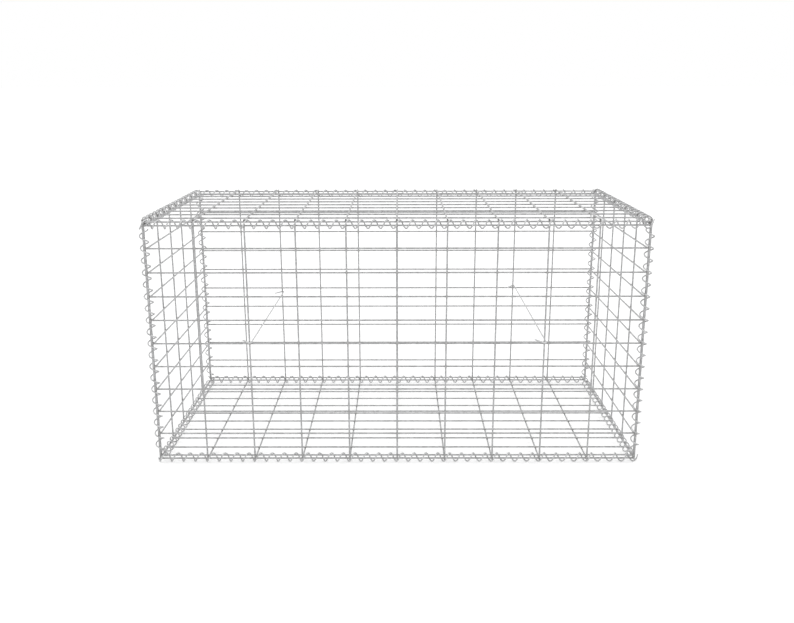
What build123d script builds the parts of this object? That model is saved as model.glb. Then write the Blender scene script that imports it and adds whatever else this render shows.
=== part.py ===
from build123d import *
import os
from math import atan2, ceil, cos, degrees, hypot, radians, sin, sqrt

os.makedirs("parts", exist_ok=True)

# The basket stands on the floor with its origin under its middle.
# X runs along it, Y from the front to the back, and Z up.

# Overall grid, from wire axis to wire axis
length = 1000.0
depth = 500.0
height = 500.0

# Wires
mesh_wire = 3.5
spiral_wire = 3.0
tie_wire = 3.0

# Mesh cells
columns = 10
end_columns = 5
rows = 10
bays = 10

# Turns of a lacing spiral in one mesh cell
turns_per_column = 4
turns_per_bay = 2
turns_per_row = 2

# Clearances
weld_gap = 0.05
seat_gap = 0.3
spiral_play = 2.4
spiral_end_gap = 2.0

# How far the long spirals run past the corner wires
spiral_tail = 6.0

# Bracing wires between the front and back
tie_columns_out = 3
tie_row = 5
tie_tail = 24.0
tie_tail_lean = 35.0
left_tie_drop = 15.0

# Turns in one stretch of a spiral's path
turns_per_stretch = 20

# Wires that cross and are welded lie one layer apart, and wires of two
# panels that rest on each other lie one rest apart.
half_wire = mesh_wire / 2
layer = mesh_wire + weld_gap
rest = mesh_wire + seat_gap

# A spiral goes round the widest pair of wires at its edge, and bears on
# one of them with its inner side.
widest_pair = hypot(layer, layer + rest)
spiral_inner = widest_pair + mesh_wire + spiral_play
spiral_radius = (spiral_inner + spiral_wire) / 2
spiral_outer = spiral_inner / 2 + spiral_wire
hang = spiral_inner / 2 - half_wire - seat_gap

# Levels, from the floor up
first_row_z = spiral_outer + hang
base_long_z = first_row_z - rest
base_cross_z = base_long_z - layer
lid_long_z = base_long_z + height
lid_cross_z = lid_long_z + layer
last_row_z = lid_long_z - rest
wall_top_row_z = last_row_z - layer
wall_foot_z = base_cross_z - half_wire

# Distances from the middle of the basket
front_upright_y = depth / 2
front_row_y = front_upright_y - layer
end_upright_x = length / 2
end_row_x = end_upright_x - layer
end_upright_y = front_row_y - rest

# Cell sizes
column_pitch = length / columns
end_column_pitch = 2 * end_upright_y / end_columns
row_pitch = (last_row_z - first_row_z) / rows
bay_pitch = 2 * front_row_y / bays

# Every mesh wire is cut flush, half a wire past the last wire it crosses,
# but the base's cross wires stop at its two edge wires.
long_wire = length + mesh_wire
lid_cross_wire = 2 * front_row_y + mesh_wire
base_cross_wire = 2 * front_row_y - mesh_wire - 2 * weld_gap
wall_upright = last_row_z + half_wire - wall_foot_z
end_upright = last_row_z - first_row_z + mesh_wire
end_row_wire = 2 * end_upright_y + mesh_wire

# The front and back have their uprights outside and their rows inside. The
# uprights reach down over the base's edge wire, and the top row is set
# lower than the others' pitch, so that a spiral holds it clear of the lid.
lower_rows_middle_z = first_row_z + (rows - 1) * row_pitch / 2

for name, side in (("front_panel", -1), ("back_panel", 1)):
    with BuildPart() as wall:
        with BuildSketch(Plane.XY.offset(wall_foot_z)):
            with Locations((0, side * front_upright_y)):
                with GridLocations(column_pitch, 0, columns + 1, 1):
                    Circle(half_wire)
        extrude(amount=wall_upright)
        with BuildSketch(Plane.YZ.offset(-long_wire / 2)):
            with Locations((side * front_row_y, lower_rows_middle_z)):
                with GridLocations(0, row_pitch, 1, rows):
                    Circle(half_wire)
            with Locations((side * front_row_y, wall_top_row_z)):
                Circle(half_wire)
        extrude(amount=long_wire)
    wall.part.label = name
    export_step(wall.part, f"parts/{name}.step")

# The ends fit between the front and back, on the same rows.
rows_middle_z = (first_row_z + last_row_z) / 2

for name, side in (("left_end_panel", -1), ("right_end_panel", 1)):
    with BuildPart() as end:
        with BuildSketch(Plane.XY.offset(first_row_z - half_wire)):
            with Locations((side * end_upright_x, 0)):
                with GridLocations(0, end_column_pitch, 1, end_columns + 1):
                    Circle(half_wire)
        extrude(amount=end_upright)
        with BuildSketch(Plane.XZ.offset(-end_row_wire / 2)):
            with Locations((side * end_row_x, rows_middle_z)):
                with GridLocations(0, row_pitch, 1, rows + 1):
                    Circle(half_wire)
        extrude(amount=end_row_wire)
    end.part.label = name
    export_step(end.part, f"parts/{name}.step")

# The base and lid have their long wires inside and their cross wires
# outside. The base's two edge wires lie lower, level with its cross wires.
for name, long_z, edge_z, cross_z, cross_wire in (
    ("base_panel", base_long_z, base_cross_z, base_cross_z, base_cross_wire),
    ("lid_panel", lid_long_z, lid_long_z, lid_cross_z, lid_cross_wire),
):
    with BuildPart() as floor:
        with BuildSketch(Plane.YZ.offset(-long_wire / 2)):
            with Locations((0, long_z)):
                with GridLocations(bay_pitch, 0, bays - 1, 1):
                    Circle(half_wire)
            with Locations((-front_row_y, edge_z), (front_row_y, edge_z)):
                Circle(half_wire)
        extrude(amount=long_wire)
        with BuildSketch(Plane.XZ.offset(-cross_wire / 2)):
            with Locations((0, cross_z)):
                with GridLocations(column_pitch, 0, columns + 1, 1):
                    Circle(half_wire)
        extrude(amount=cross_wire)
    floor.part.label = name
    export_step(floor.part, f"parts/{name}.step")


def clear_bearing(level, offset):
    """The direction, in degrees, in which a spiral passes its cross wires.

    The edge is seen along its length with the basket up and to the right.
    One panel's cross wires run to the right at the given level above the
    spiral's axis, and the other's run up at the given offset from it. Both
    pass through the turns of the spiral, so where it meets them its strand
    is on the outer side, half way round from one to the other.
    """
    reach = sqrt(max(spiral_radius**2 - level**2, 0))
    if abs(level) > spiral_inner / 2:
        reach = -half_wire
        level = -sqrt(spiral_radius**2 - half_wire**2)
    rise = sqrt(max(spiral_radius**2 - offset**2, 0))
    to_right = degrees(atan2(level, reach)) % 360
    to_top = degrees(atan2(rise, offset)) % 360
    return to_top + ((to_right - to_top) % 360) / 2


def lacing(name, plane, corner, inward, bearing, start, end, pitch, crossing):
    """A left-handed spiral along one edge of the basket.

    The corner is the axis's place on the plane, which the spiral runs
    square to, from start to end. Inward holds the two signs that point
    from the edge into the basket, and crossing is the place along the edge
    of any cross wire.
    """
    across = inward[0] * cos(radians(bearing))
    up = inward[1] * sin(radians(bearing))
    wound_back = 360 * (crossing - start) / pitch
    first_strand = radians(degrees(atan2(up, across)) + wound_back)
    origin = plane.from_local_coords((corner[0], corner[1], start))
    toward = plane.from_local_coords(
        (corner[0] + cos(first_strand), corner[1] + sin(first_strand), start)
    )
    seat = Plane(origin=origin, x_dir=toward - origin, z_dir=plane.z_dir)
    turns = (end - start) / pitch
    with BuildPart() as coil:
        with BuildLine() as path:
            for first in range(0, ceil(turns), turns_per_stretch):
                Helix(
                    pitch=pitch,
                    height=pitch * min(turns_per_stretch, turns - first),
                    radius=spiral_radius,
                    center=(0, 0, pitch * first),
                    lefthand=True,
                )
        winding = path.wires()[0]
        with BuildSketch(Plane(origin=winding @ 0, z_dir=winding % 0)):
            Circle(spiral_wire / 2)
        sweep(path=winding, is_frenet=True)
    with BuildPart() as spiral:
        with Locations(seat):
            add(coil.part)
    spiral.part.label = name
    export_step(spiral.part, f"parts/{name}.step")
    return spiral.part


# Pitches, and how far from the middle the short spirals stop
column_turn = column_pitch / turns_per_column
bay_turn = bay_pitch / turns_per_bay
row_turn = row_pitch / turns_per_row
long_reach = end_upright_x + spiral_tail
short_reach = front_row_y - spiral_outer - spiral_end_gap

# Axes of the spirals. The lower ones hang from the first row, the upper
# ones hang from the lid, and the corner ones hug the front uprights.
top_long_z = lid_long_z - hang
top_end_z = lid_cross_z - hang
corner_y = front_upright_y - hang

# Where each kind of spiral passes its cross wires
bottom_long_bearing = clear_bearing(base_cross_z - spiral_outer, -layer)
bottom_end_bearing = clear_bearing(base_long_z - spiral_outer, -layer)
top_long_bearing = clear_bearing(top_long_z - lid_cross_z, -layer)
top_end_bearing = clear_bearing(top_end_z - lid_long_z, 0)
corner_bearing = clear_bearing(corner_y - front_row_y, layer)

for name, side in (("front", -1), ("back", 1)):
    lacing(
        f"{name}_bottom_spiral",
        Plane.YZ,
        (side * front_row_y, spiral_outer),
        (-side, 1),
        bottom_long_bearing,
        -long_reach,
        long_reach,
        column_turn,
        -end_upright_x,
    )
    lacing(
        f"{name}_top_spiral",
        Plane.YZ,
        (side * front_row_y, top_long_z),
        (-side, -1),
        top_long_bearing,
        -long_reach,
        long_reach,
        column_turn,
        -end_upright_x,
    )

for name, side in (("left", -1), ("right", 1)):
    lacing(
        f"{name}_bottom_spiral",
        Plane.XZ,
        (side * end_row_x, spiral_outer),
        (-side, 1),
        bottom_end_bearing,
        -short_reach,
        short_reach,
        bay_turn,
        -front_row_y,
    )
    lacing(
        f"{name}_top_spiral",
        Plane.XZ,
        (side * end_upright_x, top_end_z),
        (-side, -1),
        top_end_bearing,
        -short_reach,
        short_reach,
        bay_turn,
        -front_row_y,
    )

for depth_name, depth_side in (("front", -1), ("back", 1)):
    for name, side in (("left", -1), ("right", 1)):
        lacing(
            f"{depth_name}_{name}_spiral",
            Plane.XY,
            (side * end_upright_x, depth_side * corner_y),
            (-side, -depth_side),
            corner_bearing,
            2 * spiral_outer + spiral_end_gap,
            top_long_z - spiral_outer - spiral_end_gap,
            row_turn,
            first_row_z,
        )

# A bracing wire lies on a row of the front, hooks round an upright there
# and another at the back, and its two tails point into the basket.
hook_radius = half_wire + seat_gap + tie_wire / 2
hook_turn = 180 - tie_tail_lean
tie_z = first_row_z + tie_row * row_pitch + half_wire + seat_gap + tie_wire / 2

for name, side, drop in (("left_tie", -1, left_tie_drop), ("right_tie", 1, 0)):
    fall = atan2(drop, depth)
    hook_y = hypot(depth, drop) / 2
    tie_plane = Plane(
        origin=(side * tie_columns_out * column_pitch, 0, tie_z - drop / 2),
        x_dir=(1, 0, 0),
        z_dir=(0, sin(fall), cos(fall)),
    )
    with BuildPart() as tie:
        with BuildLine(tie_plane) as route:
            run = Line((hook_radius, -hook_y), (hook_radius, hook_y))
            back_hook = CenterArc((0, hook_y), hook_radius, 0, hook_turn)
            PolarLine(back_hook @ 1, tie_tail, direction=back_hook % 1)
            front_hook = CenterArc((0, -hook_y), hook_radius, 0, -hook_turn)
            PolarLine(front_hook @ 1, tie_tail, direction=front_hook % 1)
        centre_line = route.wires()[0]
        with BuildSketch(Plane(origin=centre_line @ 0, z_dir=centre_line % 0)):
            Circle(tie_wire / 2)
        sweep(path=centre_line)
    tie.part.label = name
    export_step(tie.part, f"parts/{name}.step")
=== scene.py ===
from math import atan2, cos, pi, radians, sin

import bpy
import numpy as np
from mathutils import Matrix, Vector


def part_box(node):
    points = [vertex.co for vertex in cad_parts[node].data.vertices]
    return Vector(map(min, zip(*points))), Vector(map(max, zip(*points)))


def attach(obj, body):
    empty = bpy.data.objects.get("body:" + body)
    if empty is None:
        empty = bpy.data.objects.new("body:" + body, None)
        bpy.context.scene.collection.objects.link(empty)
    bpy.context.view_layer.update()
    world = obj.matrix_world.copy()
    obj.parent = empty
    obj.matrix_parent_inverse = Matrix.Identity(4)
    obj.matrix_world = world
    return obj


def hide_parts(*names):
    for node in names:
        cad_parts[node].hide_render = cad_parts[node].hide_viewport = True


bl_info = {
    "name": "Gabion basket finish",
    "version": (1, 0, 0),
    "blender": (4, 5, 0),
    "location": "3D View > Sidebar > Gabion",
    "description": "Zinc finish, welds, lacing spirals and a plain stage for a wire mesh basket",
    "category": "Object",
}

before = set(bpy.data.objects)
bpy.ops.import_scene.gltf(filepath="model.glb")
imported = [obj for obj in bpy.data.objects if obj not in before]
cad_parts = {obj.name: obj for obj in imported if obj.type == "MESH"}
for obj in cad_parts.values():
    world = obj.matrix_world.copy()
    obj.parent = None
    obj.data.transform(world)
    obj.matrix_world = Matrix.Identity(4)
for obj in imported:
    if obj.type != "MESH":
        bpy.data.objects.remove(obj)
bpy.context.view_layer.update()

# Each panel's rows run along the first axis and its uprights along the
# second. The rows lie on the given side of the uprights, on the third.
PANELS = {
    "front_panel": (0, 2, 1, 1),
    "back_panel": (0, 2, 1, -1),
    "left_end_panel": (1, 2, 0, 1),
    "right_end_panel": (1, 2, 0, -1),
    "base_panel": (0, 1, 2, 1),
    "lid_panel": (0, 1, 2, -1),
}
TIES = ("left_tie", "right_tie")
LONG_SPIRALS = (
    "front_bottom_spiral",
    "back_bottom_spiral",
    "front_top_spiral",
    "back_top_spiral",
)
END_SPIRALS = (
    "left_bottom_spiral",
    "right_bottom_spiral",
    "left_top_spiral",
    "right_top_spiral",
)
CORNER_SPIRALS = (
    "front_left_spiral",
    "front_right_spiral",
    "back_left_spiral",
    "back_right_spiral",
)

MM = 0.001

# How fine the zinc's patterns are, in features to the metre
CLOUD_SCALE = 60.0
STREAK_SCALE = 420.0
RAGGED_SCALE = 500.0
GRAIN_SCALE = 2600.0

# How deep the bumps of the zinc are, and how much of them shows
BUMP_DEPTH = 0.12 * MM
BUMP_STRENGTH = 0.22

# How far the heat of a weld dulls the zinc, and how ragged that ring is
TINT_FULL = 3 * MM
TINT_END = 8 * MM
TINT_STRENGTH = 0.6
RAGGED_DEPTH = 2 * MM

# How far a cut shows along its wire
CUT_DEPTH = 0.25 * MM

# How much the beads differ in size
SMALLEST_BEAD = (0.86, 0.86, 0.9)
LARGEST_BEAD = (1.12, 1.12, 1.1)

# How slowly a spiral strays, and how far its streaks are drawn out
WANDER_PER_TURN = 0.8
STREAK_DRAW = 0.04

# Where the two lights come from, how wide they are, and the floor's half width
KEY_SIDE = (-2.0, 0.3, 1.8)
FILL_SIDE = (2.1, 0.3, 1.7)
LIGHT_WIDTH = radians(70)
FLOOR_REACH = 200.0


class BasketSizes(bpy.types.PropertyGroup):
    """Sizes of the wire work that the frame's boxes don't give."""

    columns: bpy.props.IntProperty(
        name="Columns", description="Cells along the basket", default=10, min=1
    )
    end_columns: bpy.props.IntProperty(
        name="End columns", description="Cells across each end", default=5, min=1
    )
    rows: bpy.props.IntProperty(
        name="Rows", description="Cells up each wall", default=10, min=1
    )
    bays: bpy.props.IntProperty(
        name="Bays", description="Cells across the base and lid", default=10, min=1
    )
    mesh_wire: bpy.props.FloatProperty(
        name="Mesh wire",
        description="Diameter of the welded wires",
        default=3.5 * MM,
        subtype="DISTANCE",
        unit="LENGTH",
    )
    top_row_drop: bpy.props.FloatProperty(
        name="Top row drop",
        description="How far the walls' top row lies below the others' pitch",
        default=3.55 * MM,
        subtype="DISTANCE",
        unit="LENGTH",
    )
    spiral_wire: bpy.props.FloatProperty(
        name="Spiral wire",
        description="Diameter of the lacing wire",
        default=3.0 * MM,
        subtype="DISTANCE",
        unit="LENGTH",
    )
    turns_per_column: bpy.props.IntProperty(
        name="Turns per column",
        description="Turns of a long spiral in one column",
        default=4,
        min=1,
    )
    turns_per_cell: bpy.props.IntProperty(
        name="Turns per cell",
        description="Turns of an end or corner spiral in one cell",
        default=2,
        min=1,
    )
    spiral_sides: bpy.props.IntProperty(
        name="Sides", description="Sides of the lacing wire", default=12, min=6
    )
    points_per_turn: bpy.props.IntProperty(
        name="Points per turn",
        description="Steps round one turn of a spiral",
        default=44,
        min=12,
    )
    unevenness: bpy.props.FloatProperty(
        name="Unevenness",
        description="How far a turn strays from a true helix",
        default=0.15 * MM,
        subtype="DISTANCE",
        unit="LENGTH",
    )
    weld_width: bpy.props.FloatProperty(
        name="Weld width",
        description="Width of the bead where two wires are welded",
        default=4.4 * MM,
        subtype="DISTANCE",
        unit="LENGTH",
    )
    weld_height: bpy.props.FloatProperty(
        name="Weld height",
        description="Height of that bead, square to the panel",
        default=2.2 * MM,
        subtype="DISTANCE",
        unit="LENGTH",
    )


class ZincFinish(bpy.types.PropertyGroup):
    """Colours and gloss of the galvanised wire."""

    mesh_colour: bpy.props.FloatVectorProperty(
        name="Mesh wire",
        description="Colour of the welded wires",
        default=(0.53, 0.532, 0.536),
        size=3,
        min=0,
        max=1,
        subtype="COLOR",
    )
    # Painted light: the lacing wire is the same zinc as the mesh wire but is set lighter, to
    # offset the shade in its dense coils and the floor's shadow along the bottom edge.
    spiral_painted_light_colour: bpy.props.FloatVectorProperty(
        name="Spiral wire",
        description="Colour of the lacing wire",
        default=(0.62, 0.622, 0.626),
        size=3,
        min=0,
        max=1,
        subtype="COLOR",
    )
    tie_colour: bpy.props.FloatVectorProperty(
        name="Tie wire",
        description="Colour of the bracing wires",
        default=(0.68, 0.682, 0.686),
        size=3,
        min=0,
        max=1,
        subtype="COLOR",
    )
    tint_colour: bpy.props.FloatVectorProperty(
        name="Weld tint",
        description="Colour of the zinc that the welding heat dulled",
        default=(0.46, 0.456, 0.45),
        size=3,
        min=0,
        max=1,
        subtype="COLOR",
    )
    cut_colour: bpy.props.FloatVectorProperty(
        name="Cut end",
        description="Colour of the bare steel where a wire is cut",
        default=(0.26, 0.255, 0.25),
        size=3,
        min=0,
        max=1,
        subtype="COLOR",
    )
    roughness: bpy.props.FloatProperty(
        name="Roughness",
        description="Roughness of clean zinc",
        default=0.38,
        min=0,
        max=1,
        subtype="FACTOR",
    )
    metallic: bpy.props.FloatProperty(
        name="Metal",
        description="How metallic the zinc coat is",
        default=0.4,
        min=0,
        max=1,
        subtype="FACTOR",
    )
    spangle_size: bpy.props.FloatProperty(
        name="Spangle",
        description="Size of the zinc's crystals",
        default=5 * MM,
        subtype="DISTANCE",
        unit="LENGTH",
    )


class StudioSettings(bpy.types.PropertyGroup):
    """The stage, its light and the camera."""

    camera_place: bpy.props.FloatVectorProperty(
        name="Camera",
        description="Where the camera stands",
        default=(0.0054, -1.9093, 0.7717),
        size=3,
        subtype="TRANSLATION",
        unit="LENGTH",
    )
    camera_down: bpy.props.FloatProperty(
        name="Looks down",
        description="How far below level the camera looks",
        default=radians(14.92),
        subtype="ANGLE",
        unit="ROTATION",
    )
    camera_turn: bpy.props.FloatProperty(
        name="Turned",
        description="How far the camera is turned to the right",
        default=-0.0031,
        subtype="ANGLE",
        unit="ROTATION",
    )
    camera_roll: bpy.props.FloatProperty(
        name="Rolled",
        description="How far the camera is rolled",
        default=-0.002,
        subtype="ANGLE",
        unit="ROTATION",
    )
    lens: bpy.props.FloatProperty(
        name="Lens",
        description="Focal length, in millimetres, on a frame 36 mm wide",
        default=38.63,
        min=1,
    )
    floor_colour: bpy.props.FloatVectorProperty(
        name="Floor",
        description="Colour of the floor and the surroundings",
        default=(0.9, 0.9, 0.9),
        size=3,
        min=0,
        max=1,
        subtype="COLOR",
    )
    sky_strength: bpy.props.FloatProperty(
        name="Sky",
        description="Strength of the light from all round",
        default=0.4,
        min=0,
    )
    key_strength: bpy.props.FloatProperty(
        name="Key light",
        description="Strength of the wide soft light from the upper left",
        default=1.1,
        min=0,
    )
    fill_strength: bpy.props.FloatProperty(
        name="Fill light",
        description="Strength of the wide soft light from the right",
        default=1.1,
        min=0,
    )
    floor_glow: bpy.props.FloatProperty(
        name="Floor glow",
        description="Light added to the floor so that it looks white",
        default=0.45,
        min=0,
    )


class Value:
    """A node's output. Python's operators on it add Math nodes to its tree."""

    def __init__(self, graph, socket):
        self.graph = graph
        self.socket = socket

    def math(self, operation, *others):
        return self.graph.math(operation, self, *others)

    def __add__(self, other):
        return self.graph.math("ADD", self, other)

    def __sub__(self, other):
        return self.graph.math("SUBTRACT", self, other)

    def __rsub__(self, other):
        return self.graph.math("SUBTRACT", other, self)

    def __mul__(self, other):
        return self.graph.math("MULTIPLY", self, other)

    __radd__ = __add__
    __rmul__ = __mul__


class Graph:
    """A node tree that is being filled."""

    def __init__(self, tree):
        self.tree = tree
        tree.nodes.clear()

    def feed(self, socket, value):
        """Links a Value to a socket, or sets the socket's own value."""
        if isinstance(value, Value):
            self.tree.links.new(value.socket, socket)
        elif value is not None:
            socket.default_value = value

    def node(self, kind, sockets=None, **settings):
        """Adds a node: its settings first, then the values or links of its sockets."""
        node = self.tree.nodes.new(kind)
        for name, value in settings.items():
            setattr(node, name, value)
        for key, value in (sockets or {}).items():
            self.feed(node.inputs[key], value)
        return node

    def add(self, kind, sockets=None, output=0, **settings):
        """Adds a node and gives back one of its outputs."""
        node = self.node(kind, sockets, **settings)
        return Value(self, node.outputs[output])

    def math(self, operation, *values):
        sockets = dict(enumerate(values))
        return self.add("ShaderNodeMath", sockets, operation=operation)

    def vector(self, operation, *values, output=0):
        sockets = dict(enumerate(values))
        return self.add("ShaderNodeVectorMath", sockets, output, operation=operation)

    def scaled(self, vector, factor):
        sockets = {0: vector, "Scale": factor}
        return self.add("ShaderNodeVectorMath", sockets, operation="SCALE")

    def mixed(self, factor, first, second):
        """A colour between two colours."""
        sockets = {0: factor, 6: first, 7: second}
        return self.add("ShaderNodeMix", sockets, 2, data_type="RGBA")

    def parts(self, vector):
        """The X, Y and Z of a vector."""
        split = self.node("ShaderNodeSeparateXYZ", {0: vector})
        return [Value(self, socket) for socket in split.outputs]

    def eased(self, value, low, high, to_low=0.0, to_high=1.0):
        """Eases from one value to another as the input goes from low to high."""
        sockets = {0: value, 1: low, 2: high, 3: to_low, 4: to_high}
        return self.add("ShaderNodeMapRange", sockets, interpolation_type="SMOOTHSTEP")


def opaque(colour):
    return (*colour, 1.0)


def shaded(colour, share):
    """A colour made lighter or darker by a share of itself."""
    return opaque([channel * share for channel in colour])


def zinc(name, colour, finish, marks=None, coordinates=None):
    """Galvanised wire: soft spangle, drawn streaks and a fine grain.

    Marks adds what one kind of piece has besides, such as welds, and is
    given the graph, the place on the piece, the colour and the roughness.
    Coordinates gives the place in which the streaks are drawn out.
    """
    material = bpy.data.materials.new(name)
    material.use_nodes = True
    graph = Graph(material.node_tree)
    place = graph.add("ShaderNodeTexCoord", output="Object")
    lengthwise = coordinates(graph) if coordinates else place
    spangle = graph.add(
        "ShaderNodeTexVoronoi",
        {"Vector": place, "Scale": 1 / finish.spangle_size, "Randomness": 1.0},
        output="Color",
    )
    crystal = graph.add("ShaderNodeSeparateColor", {0: spangle})
    cloud = graph.add(
        "ShaderNodeTexNoise",
        {"Vector": place, "Scale": CLOUD_SCALE, "Detail": 4.0, "Roughness": 0.6},
    )
    streak = graph.add(
        "ShaderNodeTexNoise",
        {"Vector": lengthwise, "Scale": STREAK_SCALE, "Detail": 3.0, "Roughness": 0.55},
    )
    grain = graph.add(
        "ShaderNodeTexNoise",
        {"Vector": place, "Scale": GRAIN_SCALE, "Detail": 2.0, "Roughness": 0.5},
    )
    tone = crystal * 0.45 + cloud * 0.35 + streak * 0.2
    tone = graph.eased(tone, 0.25, 0.75)
    hue = graph.mixed(tone, shaded(colour, 0.82), shaded(colour, 1.15))
    rough = finish.roughness - 0.07 + crystal * 0.09 + streak * 0.06
    if marks:
        hue, rough = marks(graph, place, hue, rough)
    height = crystal * 0.25 + streak * 0.45 + grain * 0.3
    normal = graph.add(
        "ShaderNodeBump",
        {"Strength": BUMP_STRENGTH, "Distance": BUMP_DEPTH, "Height": height},
    )
    sockets = {
        "Base Color": hue,
        "Metallic": finish.metallic,
        "Roughness": rough,
        "Normal": normal,
    }
    surface = graph.add("ShaderNodeBsdfPrincipled", sockets)
    graph.node("ShaderNodeOutputMaterial", {0: surface})
    return material


def span(node, axis):
    """How long a piece of the frame is along X, Y or Z."""
    low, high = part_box(node)
    return high[axis] - low[axis]


def cell_counts(node, sizes):
    """How many cells a panel has along its rows and along its uprights."""
    if node in ("base_panel", "lid_panel"):
        return sizes.columns, sizes.bays
    if node in ("front_panel", "back_panel"):
        return sizes.columns, sizes.rows
    return sizes.end_columns, sizes.rows


def crossing_range(node, axis, wire):
    """From which to which place a panel's wires cross, along one axis.

    The walls' uprights reach below their lowest row, and the ends, which
    have the same rows, are flush with theirs.
    """
    low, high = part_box("left_end_panel" if axis == 2 else node)
    return low[axis] + wire / 2, high[axis] - wire / 2


def panel_marks(node, sizes, finish):
    """The heat tint round each weld of a panel, and the cut ends of its wires."""
    first, second, third, inward = PANELS[node]
    low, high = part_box(node)
    middle = (low + high) / 2

    def marks(graph, place, hue, rough):
        along = graph.parts(place)
        depth = (along[third] - middle[third]) * inward
        away = 0.0
        cut = 0.0
        for axis, count, side in zip(
            (first, second), cell_counts(node, sizes), (depth, depth * -1.0)
        ):
            start, end = crossing_range(node, axis, sizes.mesh_wire)
            pitch = (end - start) / count
            from_weld = along[axis] - start
            if axis == 2 and third == 1:
                top = along[axis].math("GREATER_THAN", end - pitch / 2)
                from_weld = from_weld + top * sizes.top_row_drop
            aside = from_weld.math("PINGPONG", pitch / 2)
            away = aside * aside + away
            if node == "base_panel" and axis == 1:
                # Its cross wires end against its edge wires.
                continue
            reach = (high[axis] - low[axis]) / 2 - CUT_DEPTH
            from_middle = (along[axis] - middle[axis]).math("ABSOLUTE")
            at_end = from_middle.math("GREATER_THAN", reach)
            cut = at_end * side.math("GREATER_THAN", 0.0) + cut
        away = away.math("SQRT")
        ragged = graph.add(
            "ShaderNodeTexNoise", {"Vector": place, "Scale": RAGGED_SCALE, "Detail": 3.0}
        )
        away = away + ragged * RAGGED_DEPTH
        tint = graph.eased(away, TINT_FULL, TINT_END, 1.0, 0.0) * TINT_STRENGTH
        cut = cut.math("MINIMUM", 1.0)
        hue = graph.mixed(tint, hue, opaque(finish.tint_colour))
        hue = graph.mixed(cut, hue, opaque(finish.cut_colour))
        return hue, rough + tint * 0.14 + cut * 0.2

    return marks


def dressed(node, material):
    """Gives a piece of the frame its finish."""
    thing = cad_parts[node]
    thing.data.materials.clear()
    thing.data.materials.append(material)
    for face in thing.data.polygons:
        face.material_index = 0


def baked_piece(name, tree, values):
    """Runs a node tree with its inputs set by name, and keeps the plain mesh."""
    maker = bpy.data.objects.new(name, bpy.data.meshes.new(name))
    bpy.context.scene.collection.objects.link(maker)
    modifier = maker.modifiers.new(name, "NODES")
    modifier.node_group = tree
    for item in tree.interface.items_tree:
        if item.in_out == "INPUT" and item.name in values:
            modifier[item.identifier] = values[item.name]
    bpy.context.view_layer.update()
    depsgraph = bpy.context.evaluated_depsgraph_get()
    mesh = bpy.data.meshes.new_from_object(maker.evaluated_get(depsgraph))
    if not mesh.polygons:
        raise RuntimeError(f"{name} came out empty")
    maker.modifiers.remove(modifier)
    maker.data = mesh
    mesh.name = name
    for face in mesh.polygons:
        face.use_smooth = True
    return maker


def new_tree(name, inputs):
    """An empty geometry tree with named inputs and one geometry output."""
    tree = bpy.data.node_groups.new(name, "GeometryNodeTree")
    tree.interface.new_socket(
        name="Geometry", in_out="OUTPUT", socket_type="NodeSocketGeometry"
    )
    for label, kind in inputs.items():
        tree.interface.new_socket(
            name=label, in_out="INPUT", socket_type=f"NodeSocket{kind}"
        )
    graph = Graph(tree)
    start = graph.node("NodeGroupInput")
    named = {socket.name: Value(graph, socket) for socket in start.outputs if socket.name}
    return tree, graph, named


def spiral_tree():
    """A wire wound left-handed round a line, with its length kept for streaks."""
    tree, graph, given = new_tree(
        "Lacing spiral",
        {
            "Start": "Vector",
            "End": "Vector",
            "Across": "Vector",
            "Up": "Vector",
            "Radius": "Float",
            "Wire radius": "Float",
            "Turns": "Float",
            "First bearing": "Float",
            "Points per turn": "Int",
            "Sides": "Int",
            "Unevenness": "Float",
            "Seed": "Float",
            "Material": "Material",
        },
    )
    line = graph.add(
        "GeometryNodeCurvePrimitiveLine", {"Start": given["Start"], "End": given["End"]}
    )
    count = given["Turns"] * given["Points per turn"] + 1
    axis = graph.add("GeometryNodeResampleCurve", {"Curve": line, "Count": count})
    share = graph.add("GeometryNodeSplineParameter")
    turned = share * given["Turns"]
    angle = given["First bearing"] - turned * (2 * pi)
    wander = graph.add(
        "ShaderNodeTexNoise",
        {"W": turned * WANDER_PER_TURN + given["Seed"], "Scale": 1.0, "Detail": 1.0},
        noise_dimensions="1D",
    )
    radius = given["Radius"] + (wander - 0.5) * 2 * given["Unevenness"]
    across = graph.scaled(given["Across"], angle.math("COSINE") * radius)
    up = graph.scaled(given["Up"], angle.math("SINE") * radius)
    offset = graph.vector("ADD", across, up)
    winding = graph.add("GeometryNodeSetPosition", {"Geometry": axis, "Offset": offset})
    length = graph.add("GeometryNodeSplineParameter", output="Length")
    winding = graph.add(
        "GeometryNodeStoreNamedAttribute",
        {"Geometry": winding, "Name": "along", "Value": length},
        data_type="FLOAT",
        domain="POINT",
    )
    ring = graph.add(
        "GeometryNodeCurvePrimitiveCircle",
        {"Resolution": given["Sides"], "Radius": given["Wire radius"]},
        mode="RADIUS",
    )
    ring = graph.add(
        "GeometryNodeStoreNamedAttribute",
        {"Geometry": ring, "Name": "side", "Value": graph.add("GeometryNodeInputPosition")},
        data_type="FLOAT_VECTOR",
        domain="POINT",
    )
    tube = graph.add(
        "GeometryNodeCurveToMesh", {"Curve": winding, "Profile Curve": ring, "Fill Caps": True}
    )
    plain = graph.add("GeometryNodeRealizeInstances", {"Geometry": tube})
    done = graph.add(
        "GeometryNodeSetMaterial", {"Geometry": plain, "Material": given["Material"]}
    )
    graph.node("NodeGroupOutput", {"Geometry": done})
    return tree


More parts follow.
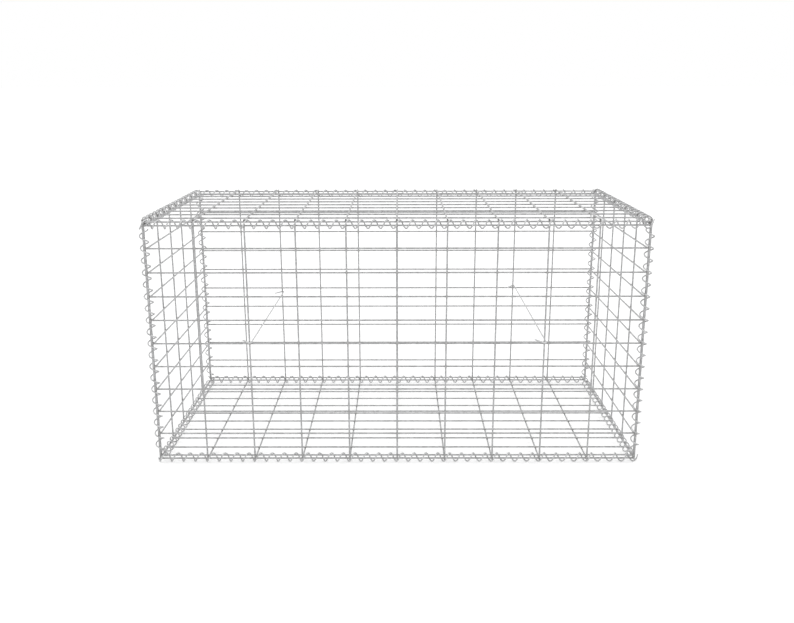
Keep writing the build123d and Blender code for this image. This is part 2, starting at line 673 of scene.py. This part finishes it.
def weld_tree():
    """A bead on every crossing of a panel, each a little different."""
    tree, graph, given = new_tree(
        "Welds",
        {
            "Width": "Float",
            "Depth": "Float",
            "Columns": "Int",
            "Rows": "Int",
            "First row shift": "Vector",
            "Last row shift": "Vector",
            "Place": "Vector",
            "Turn": "Rotation",
            "Bead": "Vector",
            "Seed": "Int",
            "Material": "Material",
        },
    )
    grid = graph.add(
        "GeometryNodeMeshGrid",
        {
            "Size X": given["Width"],
            "Size Y": given["Depth"],
            "Vertices X": given["Columns"] + 1,
            "Vertices Y": given["Rows"] + 1,
        },
    )
    row = graph.parts(graph.add("GeometryNodeInputPosition"))[1]
    for edge, shift in ((-0.499, "First row shift"), (0.499, "Last row shift")):
        beyond = row - given["Depth"] * edge
        chosen = (beyond * edge).math("GREATER_THAN", 0.0)
        grid = graph.add(
            "GeometryNodeSetPosition",
            {"Geometry": grid, "Selection": chosen, "Offset": given[shift]},
        )
    ball = graph.add("GeometryNodeMeshIcoSphere", {"Radius": 0.5, "Subdivisions": 2})
    size = graph.add(
        "FunctionNodeRandomValue",
        {"Min": SMALLEST_BEAD, "Max": LARGEST_BEAD, "Seed": given["Seed"]},
        data_type="FLOAT_VECTOR",
    )
    spin = graph.add(
        "FunctionNodeRandomValue",
        {2: 0.0, 3: 2 * pi, "Seed": given["Seed"] + 1},
        output=1,
        data_type="FLOAT",
    )
    beads = graph.add(
        "GeometryNodeInstanceOnPoints",
        {
            "Points": grid,
            "Instance": ball,
            "Rotation": graph.add("ShaderNodeCombineXYZ", {2: spin}),
            "Scale": graph.vector("MULTIPLY", size, given["Bead"]),
        },
    )
    placed = graph.add(
        "GeometryNodeTransform",
        {"Geometry": beads, "Translation": given["Place"], "Rotation": given["Turn"]},
    )
    plain = graph.add("GeometryNodeRealizeInstances", {"Geometry": placed})
    done = graph.add(
        "GeometryNodeSetMaterial", {"Geometry": plain, "Material": given["Material"]}
    )
    graph.node("NodeGroupOutput", {"Geometry": done})
    return tree


def first_bearing(node, axis, across, up, pitch):
    """The direction in which a spiral of the frame leaves its start, as an angle.

    Every point of a round wire lies evenly about its centre line, so the
    points' bearings, with the left-handed turns made up to each undone,
    average to the start.
    """
    low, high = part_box(node)
    middle = (low + high) / 2
    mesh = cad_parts[node].data
    points = np.empty(len(mesh.vertices) * 3)
    mesh.vertices.foreach_get("co", points)
    points = points.reshape(-1, 3)
    flat = points - np.array(middle)
    bearing = np.arctan2(flat @ np.array(up), flat @ np.array(across))
    run = points @ np.array(axis)
    start = run.min()
    turned = 2 * pi * (run - start) / pitch
    unwound = np.exp(1j * (bearing + turned)).mean()
    return atan2(unwound.imag, unwound.real)


class GABION_OT_panels(bpy.types.Operator):
    """Gives the six mesh panels their zinc, with a dull ring round every weld"""

    bl_idname = "gabion.panels"
    bl_label = "Finish the panels"

    def execute(self, context):
        sizes = context.scene.gabion_sizes
        finish = context.scene.gabion_finish
        for node in PANELS:
            marks = panel_marks(node, sizes, finish)
            dressed(node, zinc(f"{node}_zinc", finish.mesh_colour, finish, marks))
        return {"FINISHED"}


class GABION_OT_welds(bpy.types.Operator):
    """Sets a bead on every crossing of the six panels"""

    bl_idname = "gabion.welds"
    bl_label = "Weld the panels"

    def execute(self, context):
        sizes = context.scene.gabion_sizes
        finish = context.scene.gabion_finish
        wire = sizes.mesh_wire
        tree = weld_tree()
        material = zinc("weld_zinc", finish.tint_colour, finish)
        turns = {
            (0, 2): (pi / 2, 0, 0),
            (1, 2): (pi / 2, 0, pi / 2),
            (0, 1): (0, 0, 0),
        }
        # The walls' top row is set lower, and the base's cross wires end
        # against its edge wires, so there the beads move to the joint.
        unshifted = (0, 0, 0)
        shifts = {
            "front_panel": (unshifted, (0, -sizes.top_row_drop, 0)),
            "back_panel": (unshifted, (0, -sizes.top_row_drop, 0)),
            "base_panel": ((0, wire / 2, -wire / 2), (0, -wire / 2, -wire / 2)),
        }
        for seed, (node, (first, second, _, _)) in enumerate(PANELS.items()):
            low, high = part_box(node)
            place = (low + high) / 2
            size = []
            for axis in (first, second):
                start, end = crossing_range(node, axis, wire)
                place[axis] = (start + end) / 2
                size.append(end - start)
            columns, rows = cell_counts(node, sizes)
            first_shift, last_shift = shifts.get(node, (unshifted, unshifted))
            values = {
                "Width": size[0],
                "Depth": size[1],
                "Columns": columns,
                "Rows": rows,
                "First row shift": first_shift,
                "Last row shift": last_shift,
                "Place": place,
                "Turn": turns[first, second],
                "Bead": (sizes.weld_width, sizes.weld_width, sizes.weld_height),
                "Seed": seed,
                "Material": material,
            }
            beads = baked_piece(f"{node}_welds", tree, values)
            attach(beads, "root")
        return {"FINISHED"}


class GABION_OT_spirals(bpy.types.Operator):
    """Winds the twelve lacing spirals where the frame has them"""

    bl_idname = "gabion.spirals"
    bl_label = "Wind the spirals"

    def execute(self, context):
        sizes = context.scene.gabion_sizes
        finish = context.scene.gabion_finish
        wire = sizes.mesh_wire
        column = (span("front_panel", 0) - wire) / sizes.columns
        bay = (span("base_panel", 1) - wire) / sizes.bays
        row = (span("left_end_panel", 2) - wire) / sizes.rows
        x, y, z = Matrix.Identity(3)
        kinds = (
            (LONG_SPIRALS, x, y, z, column / sizes.turns_per_column),
            (END_SPIRALS, -y, x, z, bay / sizes.turns_per_cell),
            (CORNER_SPIRALS, z, x, y, row / sizes.turns_per_cell),
        )
        tree = spiral_tree()
        # The spirals' zinc uses the painted-light colour, lighter than the mesh wire's, to
        # offset the shade in the coils and near the floor.
        material = zinc(
            "spiral_zinc", finish.spiral_painted_light_colour, finish, coordinates=wound_streaks
        )
        seed = 0
        for nodes, axis, across, up, pitch in kinds:
            for node in nodes:
                low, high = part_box(node)
                middle = (low + high) / 2
                reach = abs((high - low).dot(axis)) / 2
                outer = abs((high - low).dot(across)) / 2
                seed += 1
                values = {
                    "Start": middle - axis * reach,
                    "End": middle + axis * reach,
                    "Across": across,
                    "Up": up,
                    "Radius": outer - sizes.spiral_wire / 2,
                    "Wire radius": sizes.spiral_wire / 2,
                    "Turns": 2 * reach / pitch,
                    "First bearing": first_bearing(node, axis, across, up, pitch),
                    "Points per turn": sizes.points_per_turn,
                    "Sides": sizes.spiral_sides,
                    "Unevenness": sizes.unevenness,
                    "Seed": 10.0 * seed,
                    "Material": material,
                }
                coil = baked_piece(f"{node}_lacing", tree, values)
                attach(coil, "root")
                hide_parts(node)
        return {"FINISHED"}


def wound_streaks(graph):
    """The place on a spiral as seen along its own wire, drawn out lengthwise."""
    side = graph.add("ShaderNodeAttribute", output="Vector", attribute_name="side")
    along = graph.add("ShaderNodeAttribute", output="Fac", attribute_name="along")
    drawn = graph.add("ShaderNodeCombineXYZ", {2: along * STREAK_DRAW})
    return graph.vector("ADD", side, drawn)


class GABION_OT_ties(bpy.types.Operator):
    """Gives the two bracing wires their brighter zinc"""

    bl_idname = "gabion.ties"
    bl_label = "Finish the ties"

    def execute(self, context):
        finish = context.scene.gabion_finish
        material = zinc("tie_zinc", finish.tie_colour, finish)
        for node in TIES:
            dressed(node, material)
        return {"FINISHED"}


def soft_light(name, source, strength):
    """A light as wide as a studio's soft box, the same over the whole floor."""
    light = bpy.data.lights.new(name, "SUN")
    light.angle = LIGHT_WIDTH
    light.energy = strength
    thing = bpy.data.objects.new(name, light)
    thing.location = source
    thing.rotation_euler = (-Vector(source)).to_track_quat("-Z", "Y").to_euler()
    bpy.context.scene.collection.objects.link(thing)


def white_to_camera(graph, plain, seen):
    """One surface for the light, another for what the camera and metal see."""
    path = graph.node("ShaderNodeLightPath").outputs
    looked_at = Value(graph, path["Is Camera Ray"])
    looked_at = looked_at.math("MAXIMUM", Value(graph, path["Is Glossy Ray"]))
    looked_at = looked_at.math("MAXIMUM", Value(graph, path["Is Transmission Ray"]))
    return graph.add("ShaderNodeMixShader", {0: looked_at, 1: plain, 2: seen})


class GABION_OT_stage(bpy.types.Operator):
    """Sets up the white floor, the soft light and the camera"""

    bl_idname = "gabion.stage"
    bl_label = "Set the stage"

    def execute(self, context):
        scene = context.scene
        studio = scene.gabion_studio
        self.floor(studio)
        self.sky(scene, studio)
        soft_light("key_light", KEY_SIDE, studio.key_strength)
        soft_light("fill_light", FILL_SIDE, studio.fill_strength)
        self.camera(scene, studio)
        scene.view_settings.view_transform = "Standard"
        return {"FINISHED"}

    def floor(self, studio):
        mesh = bpy.data.meshes.new("floor")
        far = FLOOR_REACH
        corners = [(-far, -far, 0), (far, -far, 0), (far, far, 0), (-far, far, 0)]
        mesh.from_pydata(corners, [], [(0, 1, 2, 3)])
        floor = bpy.data.objects.new("floor", mesh)
        bpy.context.scene.collection.objects.link(floor)
        material = bpy.data.materials.new("floor_paper")
        material.use_nodes = True
        graph = Graph(material.node_tree)
        paper = graph.add(
            "ShaderNodeBsdfDiffuse", {"Color": opaque(studio.floor_colour)}
        )
        glow = graph.add(
            "ShaderNodeEmission", {"Color": (1, 1, 1, 1), "Strength": studio.floor_glow}
        )
        seen = graph.add("ShaderNodeAddShader", {0: paper, 1: glow})
        graph.node("ShaderNodeOutputMaterial", {0: white_to_camera(graph, paper, seen)})
        mesh.materials.append(material)

    def sky(self, scene, studio):
        world = bpy.data.worlds.new("studio")
        world.use_nodes = True
        graph = Graph(world.node_tree)
        light = graph.add(
            "ShaderNodeBackground",
            {"Color": opaque(studio.floor_colour), "Strength": studio.sky_strength},
        )
        seen = graph.add("ShaderNodeBackground", {"Color": (1, 1, 1, 1), "Strength": 1.0})
        graph.node("ShaderNodeOutputWorld", {0: white_to_camera(graph, light, seen)})
        scene.world = world

    def camera(self, scene, studio):
        down, turn, roll = studio.camera_down, studio.camera_turn, studio.camera_roll
        ahead = Vector((sin(turn) * cos(down), cos(turn) * cos(down), -sin(down)))
        level = Vector((cos(turn), -sin(turn), 0))
        upright = level.cross(ahead)
        right = level * cos(roll) + upright * sin(roll)
        top = upright * cos(roll) - level * sin(roll)
        data = bpy.data.cameras.new("camera")
        data.sensor_width = 36.0
        data.lens = studio.lens
        camera = bpy.data.objects.new("camera", data)
        turned = Matrix((right, top, -ahead)).transposed().to_4x4()
        camera.matrix_world = Matrix.Translation(studio.camera_place) @ turned
        scene.collection.objects.link(camera)
        scene.camera = camera


class GABION_PT_basket(bpy.types.Panel):
    """The steps that finish the basket, and their sizes and colours"""

    bl_idname = "GABION_PT_basket"
    bl_label = "Gabion basket"
    bl_space_type = "VIEW_3D"
    bl_region_type = "UI"
    bl_category = "Gabion"

    def draw(self, context):
        for operator in STEPS:
            self.layout.operator(operator.bl_idname)
        for settings in ("gabion_sizes", "gabion_finish", "gabion_studio"):
            group = getattr(context.scene, settings)
            box = self.layout.box()
            for name in group.__annotations__:
                box.prop(group, name)


STEPS = (
    GABION_OT_panels,
    GABION_OT_welds,
    GABION_OT_spirals,
    GABION_OT_ties,
    GABION_OT_stage,
)
CLASSES = (BasketSizes, ZincFinish, StudioSettings, *STEPS, GABION_PT_basket)


def register():
    for kind in CLASSES:
        bpy.utils.register_class(kind)
    bpy.types.Scene.gabion_sizes = bpy.props.PointerProperty(type=BasketSizes)
    bpy.types.Scene.gabion_finish = bpy.props.PointerProperty(type=ZincFinish)
    bpy.types.Scene.gabion_studio = bpy.props.PointerProperty(type=StudioSettings)


def unregister():
    del bpy.types.Scene.gabion_studio
    del bpy.types.Scene.gabion_finish
    del bpy.types.Scene.gabion_sizes
    for kind in reversed(CLASSES):
        bpy.utils.unregister_class(kind)


def main():
    register()
    bpy.ops.gabion.panels()
    bpy.ops.gabion.welds()
    bpy.ops.gabion.spirals()
    bpy.ops.gabion.ties()
    bpy.ops.gabion.stage()


if __name__ == "__main__":
    main()
